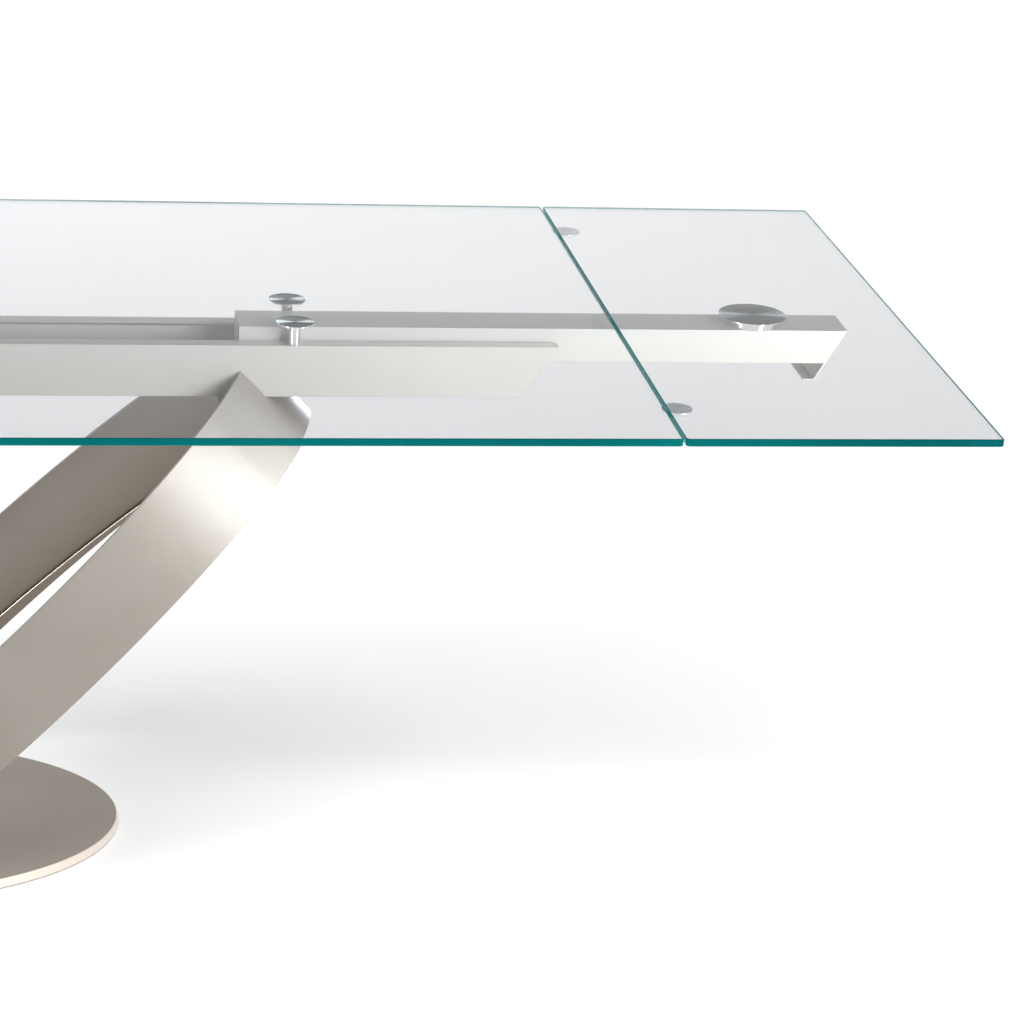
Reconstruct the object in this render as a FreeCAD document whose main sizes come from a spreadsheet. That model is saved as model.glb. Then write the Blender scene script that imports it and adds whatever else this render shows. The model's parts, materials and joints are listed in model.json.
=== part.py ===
"""Extendable glass dining table, millimetres, +Z up.

Origin: on the floor, under the middle of the table. X runs along the table, Y across it.
The main top stands on four pegs. The pegs stand on two side beams. The beams lie on two
inclined elliptical rings that meet on an oval base plate. Between the beams a rail slides
out at each end, and carries an extension leaf on a disc.
"""
import FreeCAD, Part
import math
import os
import Sketcher
from FreeCAD import Placement, Rotation, Vector

doc = FreeCAD.newDocument("dining_table")

DRIVING_SIZES = {
    "table_height": 745, "main_length": 2000, "top_width": 1000, "leaf_length": 400,
    "leaf_gap": 3, "glass_thickness": 10, "glass_corner": 5, "glass_arris": 1,
    "beam_height": 70, "beam_thickness": 20, "beam_wall": 2.5, "beam_gap": 77,
    "beam_half_top": 929, "beam_end_undercut": 48, "beam_cap": 4,
    "cross_plate_length": 60, "cross_plate_thickness": 6, "cross_plate_inner": 140,
    "cross_plate_outer": 400,
    "peg_height": 30, "peg_disc_radius": 24.75, "peg_disc_foot": 15, "peg_disc_thickness": 4,
    "peg_stem_radius": 9, "peg_spacing": 578, "stud_radius": 4, "stud_length": 28, "disc_rim": 1.8,
    "rail_width": 68, "rail_height": 46, "rail_wall": 2.5, "rail_inner_end": 507,
    "rail_outer_top": 1328, "rail_end_slope": 0.56, "end_plate": 3, "end_plate_drop": 24,
    "pull_lip": 14, "pull_lip_thickness": 1.6, "inner_cap": 4,
    "support_disc_radius": 46, "support_drum_radius": 38, "support_disc_thickness": 11.7,
    "disc_clearance": 0.3, "disc_skin": 4,
    "tongue_radius": 19.5, "tongue_foot": 13, "tongue_thickness": 6, "tongue_inset": 13.5,
    "tongue_spacing": 381,
    "roller_radius": 12, "roller_width": 66, "roller_position": 850, "roller_clearance": 0.3,
    "axle_radius": 4, "axle_clearance": 0.05,
    "wheel_radius": 11, "wheel_width": 3.4, "wheel_setback": 20, "wheel_drop": 15,
    "wheel_gap": 0.4, "axle_end": 0.3,
    "ledge_thickness": 3, "ledge_depth": 4, "ledge_half_length": 560, "stop_length": 10,
    "ring_half_length": 535, "ring_half_width": 225, "ring_wall": 6, "ring_band": 124,
    "ring_incline": 45, "ring_centre_along": 316.5, "ring_centre_off": 9.5,
    "stiffener": 5, "stiffener_taper": 2.1, "stiffener_end": 380, "stiffener_height": 45,
    "top_plate": 6, "top_plate_start": 479, "bolt_first": 14, "bolt_second": 44, "bolt_reach": 12,
    "notch_relief": 3.5,
    "base_half_length": 365, "base_half_width": 237, "base_top": 15, "base_thickness": 14,
    "base_chamfer": 1.2, "pad_radius": 14, "pad_thickness": 2,
    "pad_inset": 45, "foot_flange": 8, "foot_flange_half": 34, "foot_flange_width": 50,
    "foot_flange_middle": 165, "foot_screw_middle": 160, "foot_screw_spacing": 22,
    "foot_screw_skin": 3, "bolt_radius": 4, "bolt_head": 6.5, "bolt_head_height": 5,
}

# Reach, along and across the table, of the blocks that only limit other shapes.
FAR = 900
SIDE = 300

# Pads under the base plate, spaced evenly round it.
PADS = 8


def make_sheet():
    """Puts each driving size in its own cell, with its name beside it."""
    sheet = doc.addObject("Spreadsheet::Sheet", "Dims")
    for row, (name, value) in enumerate(DRIVING_SIZES.items(), start=1):
        sheet.set(f"A{row}", name)
        sheet.set(f"B{row}", str(value))
        sheet.setAlias(f"B{row}", name)
    doc.recompute()
    return sheet


dims = make_sheet()

# Levels and positions that follow from the driving sizes, as expressions on the sheet.
GLASS_BOTTOM = "(Dims.table_height - Dims.glass_thickness)"
BEAM_TOP = f"({GLASS_BOTTOM} - Dims.peg_height)"
BEAM_BOTTOM = f"({BEAM_TOP} - Dims.beam_height)"
BEAM_OUTER = "(Dims.beam_gap / 2 + Dims.beam_thickness)"
BEAM_MIDDLE = "(Dims.beam_gap / 2 + Dims.beam_thickness / 2)"
RAIL_TOP = f"({GLASS_BOTTOM} - Dims.support_disc_thickness - Dims.disc_clearance)"
RAIL_BOTTOM = f"({RAIL_TOP} - Dims.rail_height)"
WHEEL_LEVEL = f"({BEAM_TOP} - Dims.wheel_drop)"
WHEEL_AXIS = "(Dims.rail_inner_end + Dims.wheel_setback)"
ROLLER_LEVEL = f"({RAIL_BOTTOM} - Dims.roller_radius - Dims.roller_clearance)"
LEAF_CENTRE = "(Dims.main_length / 2 + Dims.leaf_gap + Dims.leaf_length / 2)"
BASE_BOTTOM = "(Dims.base_top - Dims.base_thickness)"
BOLT_PLACES = ("(Dims.top_plate_start + Dims.bolt_first)", "(Dims.top_plate_start + Dims.bolt_second)")

subparts = []


def keep(feature, label):
    """Marks a finished object as a sub-part, and names its file."""
    feature.Label = label
    subparts.append(feature)
    return feature


def bind(feature, **expressions):
    """Binds properties to expressions. Names at_x, at_y and at_z stand for the placement's base."""
    for name, expression in expressions.items():
        path = f"Placement.Base.{name[-1]}" if name.startswith("at_") else name
        feature.setExpression(path, str(expression))
    return feature


def box(name, length, width, height, at_x=0, at_y=0, at_z=0):
    """A box from its lowest corner."""
    feature = doc.addObject("Part::Box", name)
    return bind(feature, Length=length, Width=width, Height=height, at_x=at_x, at_y=at_y, at_z=at_z)


def centred_box(name, length, width, height, at_x=0, at_y=0, at_z=0):
    """A box centred in X and Y, standing on its level in Z."""
    corner_x = f"{at_x} - ({length}) / 2"
    corner_y = f"{at_y} - ({width}) / 2"
    return box(name, length, width, height, corner_x, corner_y, at_z)


def cylinder(name, radius, height, at_x=0, at_y=0, at_z=0):
    """An upright cylinder standing on its level in Z."""
    feature = doc.addObject("Part::Cylinder", name)
    return bind(feature, Radius=radius, Height=height, at_x=at_x, at_y=at_y, at_z=at_z)


def cross_cylinder(name, radius, length, at_x, at_y, at_z):
    """A cylinder along Y, centred on its place."""
    feature = doc.addObject("Part::Cylinder", name)
    feature.Placement = Placement(Vector(0, 0, 0), Rotation(Vector(1, 0, 0), -90))
    start_y = f"{at_y} - ({length}) / 2"
    return bind(feature, Radius=radius, Height=length, at_x=at_x, at_y=start_y, at_z=at_z)


def cut(name, base, tool):
    feature = doc.addObject("Part::Cut", name)
    feature.Base = base
    feature.Tool = tool
    return feature


def common(name, first, second):
    feature = doc.addObject("Part::Common", name)
    feature.Base = first
    feature.Tool = second
    return feature


def fuse(name, shapes):
    feature = doc.addObject("Part::MultiFuse", name)
    feature.Shapes = shapes
    return feature


def group(name, shapes):
    """Separate solids in one node."""
    feature = doc.addObject("Part::Compound", name)
    feature.Links = shapes
    return feature


def mirror(source, label):
    """The left-hand copy of a right-hand sub-part."""
    feature = doc.addObject("Part::Mirroring", label)
    feature.Source = source
    feature.Normal = Vector(1, 0, 0)
    return keep(feature, label)


def origin_plane(body, role):
    """One of a body's own origin planes."""
    return next(plane for plane in body.Origin.OriginFeatures if plane.Role == role)


def new_sketch(body, name, role):
    sketch = body.newObject("Sketcher::SketchObject", name)
    sketch.AttachmentSupport = [(origin_plane(body, role), "")]
    sketch.MapMode = "FlatFace"
    return sketch


def rectangle(sketch, length, width):
    """A rectangle about the sketch's origin, with both sides bound."""
    corners = [Vector(-10, -10, 0), Vector(10, -10, 0), Vector(10, 10, 0), Vector(-10, 10, 0)]
    for index, corner in enumerate(corners):
        sketch.addGeometry(Part.LineSegment(corner, corners[(index + 1) % 4]), False)
    for index in range(4):
        sketch.addConstraint(Sketcher.Constraint("Coincident", index, 2, (index + 1) % 4, 1))
    for index in (0, 2):
        sketch.addConstraint(Sketcher.Constraint("Horizontal", index))
    for index in (1, 3):
        sketch.addConstraint(Sketcher.Constraint("Vertical", index))
    sketch.addConstraint(Sketcher.Constraint("Symmetric", 0, 1, 2, 1, -1, 1))
    sketch.addConstraint(Sketcher.Constraint("DistanceX", 0, 1, 0, 2, 20))
    sketch.setExpression(f"Constraints[{sketch.ConstraintCount - 1}]", length)
    sketch.addConstraint(Sketcher.Constraint("DistanceY", 1, 1, 1, 2, 20))
    sketch.setExpression(f"Constraints[{sketch.ConstraintCount - 1}]", width)


def pad(body, sketch, name, length):
    feature = body.newObject("PartDesign::Pad", name)
    feature.Profile = sketch
    feature.setExpression("Length", length)
    doc.recompute()
    return feature


def edge_names(shape, wanted):
    """The names of the edges that a test picks out."""
    return [f"Edge{number}" for number, edge in enumerate(shape.Edges, start=1) if wanted(edge)]


def is_upright(edge):
    return edge.BoundBox.ZLength > 0.9 * edge.Length


def dress(body, kind, name, base, edges, size_name, size):
    """A fillet or a chamfer on a body, with its size bound."""
    feature = body.newObject(f"PartDesign::{kind}", name)
    feature.Base = (base, edges)
    feature.setExpression(size_name, size)
    doc.recompute()
    return feature


def glass_pane(label, length, at_x):
    """A flat pane with small round corners and a ground arris all round."""
    body = doc.addObject("PartDesign::Body", label)
    sketch = new_sketch(body, f"{label}_outline", "XY_Plane")
    rectangle(sketch, length, "Dims.top_width")
    slab = pad(body, sketch, f"{label}_slab", "Dims.glass_thickness")
    upright = edge_names(slab.Shape, is_upright)
    rounded = dress(body, "Fillet", f"{label}_corners", slab, upright, "Radius", "Dims.glass_corner")
    rims = edge_names(rounded.Shape, lambda edge: edge.BoundBox.ZLength < 0.01)
    dress(body, "Chamfer", f"{label}_arris", rounded, rims, "Size", "Dims.glass_arris")
    bind(body, at_x=at_x, at_z=GLASS_BOTTOM)
    return keep(body, label)


def turned_disc(label, radius, foot, thickness, place):
    """A turned disc: an upright rim above a side that tapers in to the foot."""
    at_x, at_y, at_z = place
    taper = doc.addObject("Part::Cone", f"{label}_taper")
    height = f"({thickness} - Dims.disc_rim)"
    bind(taper, Radius1=foot, Radius2=radius, Height=height, at_x=at_x, at_y=at_y, at_z=at_z)
    rim = cylinder(f"{label}_rim", radius, "Dims.disc_rim", at_x, at_y, f"{at_z} + {height}")
    return fuse(label, [taper, rim])


def drum_disc(label, place):
    """The support disc: a plate on a narrower drum."""
    at_x, at_y, at_z = place
    height = "(Dims.support_disc_thickness - Dims.disc_rim)"
    drum = cylinder(f"{label}_drum", "Dims.support_drum_radius", height, at_x, at_y, at_z)
    plate = cylinder(f"{label}_plate", "Dims.support_disc_radius", "Dims.disc_rim",
                     at_x, at_y, f"{at_z} + {height}")
    return fuse(label, [drum, plate])


def side_profile(label, points, width, at_y):
    """A prism along Y. Each point is an X and a Z expression, and each one is bound."""
    body = doc.addObject("PartDesign::Body", label)
    sketch = new_sketch(body, f"{label}_outline", "XZ_Plane")
    doc.recompute()
    spots = [(dims.evalExpression(along), dims.evalExpression(level)) for along, level in points]
    spots = [Vector(float(along), float(level), 0) for along, level in spots]
    count = len(spots)
    for index, spot in enumerate(spots):
        sketch.addGeometry(Part.LineSegment(spot, spots[(index + 1) % count]), False)
    for index in range(count):
        sketch.addConstraint(Sketcher.Constraint("Coincident", index, 2, (index + 1) % count, 1))
    for index, (along, level) in enumerate(points):
        sketch.addConstraint(Sketcher.Constraint("DistanceX", -1, 1, index, 1, spots[index].x))
        sketch.setExpression(f"Constraints[{sketch.ConstraintCount - 1}]", along)
        sketch.addConstraint(Sketcher.Constraint("DistanceY", -1, 1, index, 1, spots[index].y))
        sketch.setExpression(f"Constraints[{sketch.ConstraintCount - 1}]", level)
    feature = body.newObject("PartDesign::Pad", f"{label}_prism")
    feature.Profile = sketch
    feature.Midplane = True
    feature.setExpression("Length", width)
    doc.recompute()
    return bind(body, at_y=at_y)


def beam_outline(setback):
    """The beam's side view: undercut ends, each moved in by setback."""
    top_end = f"(Dims.beam_half_top - {setback})"
    low_end = f"({top_end} - Dims.beam_end_undercut)"
    return [
        (f"-1 * {top_end}", BEAM_TOP), (f"-1 * {low_end}", BEAM_BOTTOM),
        (low_end, BEAM_BOTTOM), (top_end, BEAM_TOP),
    ]


def beam_hollow(name, at_y):
    length = "(2 * Dims.beam_half_top)"
    width = "(Dims.beam_thickness - 2 * Dims.beam_wall)"
    height = "(Dims.beam_height - 2 * Dims.beam_wall)"
    return centred_box(name, length, width, height, 0, at_y, f"{BEAM_BOTTOM} + Dims.beam_wall")


def side_beams():
    """Two tubes with undercut ends, drilled for the peg studs, the roller axles and the bolts."""
    caps = []
    for side, sign in (("front", -1), ("rear", 1)):
        at_y = f"({sign} * {BEAM_MIDDLE})"
        blank = side_profile(f"beam_blank_{side}", beam_outline(0), "Dims.beam_thickness", at_y)
        core = side_profile(f"beam_core_{side}", beam_outline("Dims.beam_cap"),
                            "Dims.beam_thickness", at_y)
        tube = cut(f"beam_tube_{side}", blank, beam_hollow(f"beam_hollow_{side}", at_y))
        drills = []
        for end in (-1, 1):
            peg_x = f"{end} * Dims.peg_spacing"
            drill = cylinder(f"stud_drill_{side}_{end + 1}", "Dims.stud_radius", "Dims.beam_wall",
                             peg_x, at_y, f"{BEAM_TOP} - Dims.beam_wall")
            axle = cross_cylinder(f"axle_drill_{side}_{end + 1}", "Dims.axle_radius", "Dims.beam_wall",
                                  f"{end} * Dims.roller_position",
                                  f"{sign} * (Dims.beam_gap + Dims.beam_wall) / 2", ROLLER_LEVEL)
            drills += [drill, axle]
            for row, bolt_x in enumerate(BOLT_PLACES):
                drills.append(cylinder(f"bolt_drill_{side}_{end + 1}_{row}", "Dims.bolt_radius",
                                       "Dims.beam_wall", f"{end} * {bolt_x}", at_y, BEAM_BOTTOM))
        keep(cut(f"side_beam_{side}", tube, fuse(f"beam_drills_{side}", drills)), f"side_beam_{side}")
        ends = cut(f"beam_ends_{side}", blank, core)
        caps.append(common(f"beam_caps_{side}", ends, beam_hollow(f"cap_limit_{side}", at_y)))
    keep(group("beam_end_caps", caps), "beam_end_caps")


def cross_plates():
    """Flat plates that tie the two beams together along their bottoms."""
    plates = []
    for side in (-1, 1):
        for spot in ("inner", "outer"):
            plates.append(centred_box(f"cross_plate_{spot}_{side + 1}", "Dims.cross_plate_length",
                                      "Dims.beam_gap", "Dims.cross_plate_thickness",
                                      f"{side} * Dims.cross_plate_{spot}", 0, BEAM_BOTTOM))
    keep(group("beam_cross_plates", plates), "beam_cross_plates")


def pegs():
    """Four turned pegs: a stem on the beam, and a disc bonded under the main top."""
    studs = []
    for end, end_sign in (("left", -1), ("right", 1)):
        for side, side_sign in (("front", -1), ("rear", 1)):
            at_x = f"({end_sign} * Dims.peg_spacing)"
            at_y = f"({side_sign} * {BEAM_MIDDLE})"
            place = f"{side}_{end}"
            blank = cylinder(f"stem_blank_{place}", "Dims.peg_stem_radius",
                             "Dims.peg_height - Dims.peg_disc_thickness", at_x, at_y, BEAM_TOP)
            depth = "(Dims.stud_length / 2)"
            thread = cylinder(f"stem_thread_{place}", "Dims.stud_radius", depth, at_x, at_y, BEAM_TOP)
            keep(cut(f"peg_stem_{place}", blank, thread), f"peg_stem_{place}")
            level = f"({GLASS_BOTTOM} - Dims.peg_disc_thickness)"
            keep(turned_disc(f"peg_disc_{place}", "Dims.peg_disc_radius", "Dims.peg_disc_foot",
                             "Dims.peg_disc_thickness", (at_x, at_y, level)), f"peg_disc_{place}")
            studs.append(cylinder(f"stud_{place}", "Dims.stud_radius", "Dims.stud_length",
                                  at_x, at_y, f"{BEAM_TOP} - {depth}"))
    keep(group("peg_studs", studs), "peg_studs")


def extrude(name, edge, direction, height):
    """A solid prism on a closed curve."""
    prism = doc.addObject("Part::Extrusion", name)
    prism.Base = edge
    prism.DirMode = "Custom"
    prism.Dir = direction
    prism.Solid = True
    prism.setExpression("LengthFwd", str(height))
    return prism


def inclined_ellipse(name, shrink, height):
    """An elliptical prism that stands square to the ring's inclined plane."""
    tilt = Rotation(Vector(0, 1, 0), -dims.ring_incline)
    edge = doc.addObject("Part::Ellipse", f"{name}_curve")
    edge.Placement = Placement(Vector(0, 0, 0), tilt)
    along_x = "Dims.ring_centre_along * cos(Dims.ring_incline * 1deg)"
    along_z = "Dims.ring_centre_along * sin(Dims.ring_incline * 1deg)"
    off_x = "Dims.ring_centre_off * sin(Dims.ring_incline * 1deg)"
    off_z = "Dims.ring_centre_off * cos(Dims.ring_incline * 1deg)"
    bind(edge, MajorRadius=f"Dims.ring_half_length - {shrink}",
         MinorRadius=f"Dims.ring_half_width - {shrink}",
         at_x=f"{along_x} + {off_x}", at_z=f"{along_z} - {off_z}")
    return extrude(name, edge, tilt.multVec(Vector(0, 0, 1)), height)


def above_base(name):
    """The space that one ring may use: its own side of the middle, above the base plate."""
    return box(name, FAR, 2 * SIDE, FAR, 0, -SIDE, "Dims.base_top")


def base_rings():
    """The right ring stands at an incline on the base plate and is notched round the beams."""
    outer = inclined_ellipse("ring_outer", 0, "Dims.ring_band")
    inner = inclined_ellipse("ring_inner", "Dims.ring_wall", "Dims.ring_band")
    wall = common("ring_wall", cut("ring_whole", outer, inner), above_base("ring_space"))
    notch = box("beam_notch", FAR, f"2 * {BEAM_OUTER}", FAR, 0, f"-1 * {BEAM_OUTER}", BEAM_BOTTOM)
    reliefs = [box(f"notch_relief_{side + 1}", FAR, "Dims.notch_relief", "Dims.notch_relief", 0,
                   f"{side} * {BEAM_OUTER} - Dims.notch_relief / 2", BEAM_BOTTOM)
               for side in (-1, 1)]
    ring = keep(cut("right_base_ring", wall, fuse("ring_cutters", [notch, *reliefs])), "right_base_ring")
    mirror(ring, "left_base_ring")


def ring_stiffeners():
    """A strip welded inside the ring's lower edge. It tapers away towards the top."""
    outer = inclined_ellipse("strip_outer", "Dims.ring_wall", "Dims.stiffener_height")
    inner = inclined_ellipse("strip_inner", "(Dims.ring_wall + Dims.stiffener)", "Dims.stiffener_height")
    strip = common("strip_space", cut("strip_whole", outer, inner), above_base("strip_limit"))
    taper = doc.addObject("Part::Box", "strip_taper")
    incline = math.radians(dims.ring_incline)
    start_along = dims.ring_centre_along + dims.stiffener_end
    corner = Vector(start_along * math.cos(incline) + dims.ring_centre_off * math.sin(incline), 0,
                    start_along * math.sin(incline) - dims.ring_centre_off * math.cos(incline))
    turn = Rotation(Vector(0, 1, 0), dims.stiffener_taper - dims.ring_incline)
    bind(taper, Length=2 * FAR, Width=2 * SIDE, Height=SIDE)
    taper.Placement = Placement(corner + turn.multVec(Vector(-FAR, -SIDE, 0)), turn)
    piece = keep(cut("right_ring_stiffener", strip, taper), "right_ring_stiffener")
    mirror(piece, "left_ring_stiffener")


def top_plates():
    """A plate that closes each ring under the beams, and takes the bolts into the beams."""
    inner = inclined_ellipse("plate_outline", "Dims.ring_wall", "Dims.ring_band")
    level = f"({BEAM_BOTTOM} - Dims.top_plate)"
    slab = box("plate_slab", SIDE, 2 * SIDE, "Dims.top_plate", "Dims.top_plate_start", -SIDE, level)
    blank = common("plate_blank", inner, slab)
    drills = []
    bolts = []
    for side in (-1, 1):
        for row, bolt_x in enumerate(BOLT_PLACES):
            at_y = f"{side} * {BEAM_MIDDLE}"
            drills.append(cylinder(f"plate_drill_{side + 1}_{row}", "Dims.bolt_radius", "Dims.top_plate",
                                   bolt_x, at_y, level))
            shank = cylinder(f"bolt_shank_{side + 1}_{row}", "Dims.bolt_radius",
                             "Dims.top_plate + Dims.beam_wall + Dims.bolt_reach", bolt_x, at_y, level)
            head = cylinder(f"bolt_head_{side + 1}_{row}", "Dims.bolt_head", "Dims.bolt_head_height",
                            bolt_x, at_y, f"{level} - Dims.bolt_head_height")
            bolts.append(fuse(f"bolt_{side + 1}_{row}", [shank, head]))
    plate = keep(cut("right_top_plate", blank, fuse("plate_drills", drills)), "right_top_plate")
    mirror(plate, "left_top_plate")
    right = keep(group("right_top_bolts", bolts), "right_top_bolts")
    mirror(right, "left_top_bolts")


def base_plate():
    """The oval plate, with a broken rim, pad recesses below, and the foot screws' holes."""
    rim = doc.addObject("Part::Ellipse", "base_outline")
    bind(rim, MajorRadius="Dims.base_half_length", MinorRadius="Dims.base_half_width", at_z=BASE_BOTTOM)
    slab = extrude("base_slab", rim, Vector(0, 0, 1), "Dims.base_thickness")
    doc.recompute()
    broken = doc.addObject("Part::Chamfer", "base_broken_rim")
    broken.Base = slab
    rims = edge_names(slab.Shape, lambda edge: edge.BoundBox.ZLength < 0.01)
    size = dims.base_chamfer
    broken.Edges = [(int(name[4:]), size, size) for name in rims]
    recesses = []
    pads = []
    depth = f"(Dims.pad_thickness - {BASE_BOTTOM})"
    for number in range(PADS):
        turn = math.tau * (number + 0.5) / PADS
        at_x = f"{math.cos(turn):.4f} * (Dims.base_half_length - Dims.pad_inset)"
        at_y = f"{math.sin(turn):.4f} * (Dims.base_half_width - Dims.pad_inset)"
        recesses.append(cylinder(f"pad_recess_{number}", "Dims.pad_radius", depth, at_x, at_y, BASE_BOTTOM))
        pads.append(cylinder(f"pad_{number}", "Dims.pad_radius", "Dims.pad_thickness", at_x, at_y, 0))
    screws = []
    for side in (-1, 1):
        for end in (-1, 1):
            place = (f"{end} * Dims.foot_screw_spacing", f"{side} * Dims.foot_screw_middle", BASE_BOTTOM)
            head = cylinder(f"foot_head_{side + 1}_{end + 1}", "Dims.bolt_head",
                            "Dims.bolt_head_height", *place)
            shank = cylinder(f"foot_shank_{side + 1}_{end + 1}", "Dims.bolt_radius",
                             "Dims.base_thickness + Dims.foot_flange - Dims.foot_screw_skin", *place)
            screws.append(fuse(f"foot_screw_{side + 1}_{end + 1}", [head, shank]))
    keep(cut("base_plate", broken, fuse("base_cutters", recesses + screws)), "base_plate")
    keep(group("floor_pads", pads), "floor_pads")
    screw_group = keep(group("foot_screws", screws), "foot_screws")
    foot_flanges(screw_group)


def foot_flanges(screw_group):
    """Blocks welded inside the foot of the rings and screwed to the base plate from below."""
    inner = inclined_ellipse("flange_outline", "(Dims.ring_wall + Dims.stiffener)", "Dims.ring_band")
    flanges = []
    for side in (-1, 1):
        block = centred_box(f"flange_block_{side + 1}", "2 * Dims.foot_flange_half",
                            "Dims.foot_flange_width", "Dims.foot_flange", 0,
                            f"{side} * Dims.foot_flange_middle", "Dims.base_top")
        half = common(f"flange_half_{side + 1}", block, inner)
        flanges.append(half)
    both = group("flange_halves", flanges)
    right = common("flange_right", both, above_base("flange_limit"))
    left = doc.addObject("Part::Mirroring", "flange_left")
    left.Source = right
    left.Normal = Vector(1, 0, 0)
    keep(cut("foot_flanges", fuse("flange_pair", [right, left]), screw_group), "foot_flanges")


def guide_ledges():
    """Bars on the beams' inner faces. The rails' side wheels run between them."""
    bars = []
    stops = []
    reach = "(Dims.wheel_radius + Dims.roller_clearance)"
    above = f"{WHEEL_LEVEL} + {reach}"
    below = f"{WHEEL_LEVEL} - {reach} - Dims.ledge_thickness"
    for side in (-1, 1):
        at_y = f"{side} * (Dims.beam_gap - Dims.ledge_depth) / 2"
        for name, level in (("upper", above), ("lower", below)):
            bars.append(centred_box(f"ledge_{name}_{side + 1}", "2 * Dims.ledge_half_length",
                                    "Dims.ledge_depth", "Dims.ledge_thickness", 0, at_y, level))
        for end in (-1, 1):
            at_x = f"{end} * ({WHEEL_AXIS} + {reach} + Dims.stop_length / 2)"
            stops.append(centred_box(f"stop_{side + 1}_{end + 1}", "Dims.stop_length", "Dims.ledge_depth",
                                     f"2 * {reach}", at_x, at_y, f"{WHEEL_LEVEL} - {reach}"))
    keep(group("guide_ledges", bars), "guide_ledges")
    keep(group("travel_stops", stops), "travel_stops")


def support_rollers():
    """A cross roller under each rail, on an axle held in the beams' inner walls."""
    axles = []
    length = "(Dims.beam_gap + 2 * Dims.beam_wall)"
    for end in (-1, 1):
        axles.append(cross_cylinder(f"roller_axle_{end + 1}", "Dims.axle_radius", length,
                                    f"{end} * Dims.roller_position", 0, ROLLER_LEVEL))
    keep(group("roller_axles", axles), "roller_axles")
    blank = cross_cylinder("roller_blank", "Dims.roller_radius", "Dims.roller_width",
                           "Dims.roller_position", 0, ROLLER_LEVEL)
    bore = cross_cylinder("roller_bore", "Dims.axle_radius + Dims.axle_clearance", "Dims.roller_width",
                          "Dims.roller_position", 0, ROLLER_LEVEL)
    roller = keep(cut("right_support_roller", blank, bore), "right_support_roller")
    mirror(roller, "left_support_roller")


def rail_end_x(level, setback="0"):
    """Where the rail's slanted end lies at a level, moved in by setback."""
    return f"(Dims.rail_outer_top - {setback} - Dims.rail_end_slope * ({RAIL_TOP} - {level}))"


def sliding_rail():
    """The rail tube, its slanted end plate with a pull lip, its inner cap and its side wheels."""
    setback = "Dims.end_plate"
    outline = [("Dims.rail_inner_end", RAIL_BOTTOM), (rail_end_x(RAIL_BOTTOM, setback), RAIL_BOTTOM),
               (rail_end_x(RAIL_TOP, setback), RAIL_TOP), ("Dims.rail_inner_end", RAIL_TOP)]
    blank = side_profile("rail_blank", outline, "Dims.rail_width", 0)
    inside_width = "(Dims.rail_width - 2 * Dims.rail_wall)"
    inside_height = "(Dims.rail_height - 2 * Dims.rail_wall)"
    hollow = box("rail_hollow", FAR, inside_width, inside_height, "Dims.rail_inner_end",
                 f"{inside_width} / -2", f"{RAIL_BOTTOM} + Dims.rail_wall")
    tube = cut("rail_tube", blank, hollow)
    axle_bore = cross_cylinder("rail_axle_bore", "Dims.axle_radius", "Dims.rail_width",
                               WHEEL_AXIS, 0, WHEEL_LEVEL)
    screw_bore = cylinder("rail_screw_bore", "Dims.bolt_radius", "Dims.rail_wall",
                          LEAF_CENTRE, 0, f"{RAIL_TOP} - Dims.rail_wall")
    rail = keep(cut("right_rail", tube, fuse("rail_bores", [axle_bore, screw_bore])), "right_rail")
    mirror(rail, "left_rail")

    cap = keep(centred_box("right_rail_inner_cap", "Dims.inner_cap", inside_width, inside_height,
                           "Dims.rail_inner_end + Dims.inner_cap / 2", 0,
                           f"{RAIL_BOTTOM} + Dims.rail_wall"), "right_rail_inner_cap")
    mirror(cap, "left_rail_inner_cap")

    lip_level = f"({RAIL_BOTTOM} - Dims.end_plate_drop)"
    lip_top = f"({lip_level} + Dims.pull_lip_thickness)"
    plate_outline = [
        (rail_end_x(RAIL_TOP, setback), RAIL_TOP),
        (rail_end_x(lip_top, setback), lip_top),
        (f"{rail_end_x(lip_top, setback)} - Dims.pull_lip", lip_top),
        (f"{rail_end_x(lip_top, setback)} - Dims.pull_lip", lip_level),
        (rail_end_x(lip_level), lip_level),
        (rail_end_x(RAIL_TOP), RAIL_TOP),
    ]
    plate = keep(side_profile("right_rail_end_plate", plate_outline, "Dims.rail_width", 0),
                 "right_rail_end_plate")
    mirror(plate, "left_rail_end_plate")


def rail_wheels():
    """Two side wheels on a cross axle at the rail's inner end."""
    length = "(Dims.rail_width + 2 * (Dims.wheel_gap + Dims.wheel_width + Dims.axle_end))"
    axle = keep(cross_cylinder("right_wheel_axle", "Dims.axle_radius", length,
                               WHEEL_AXIS, 0, WHEEL_LEVEL), "right_wheel_axle")
    mirror(axle, "left_wheel_axle")
    wheels = []
    for side in (-1, 1):
        at_y = f"{side} * ((Dims.rail_width + Dims.wheel_width) / 2 + Dims.wheel_gap)"
        blank = cross_cylinder(f"wheel_blank_{side + 1}", "Dims.wheel_radius", "Dims.wheel_width",
                               WHEEL_AXIS, at_y, WHEEL_LEVEL)
        bore = cross_cylinder(f"wheel_bore_{side + 1}", "Dims.axle_radius + Dims.axle_clearance",
                              "Dims.wheel_width", WHEEL_AXIS, at_y, WHEEL_LEVEL)
        wheels.append(cut(f"wheel_{side + 1}", blank, bore))
    pair = keep(group("right_guide_wheels", wheels), "right_guide_wheels")
    mirror(pair, "left_guide_wheels")


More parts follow.
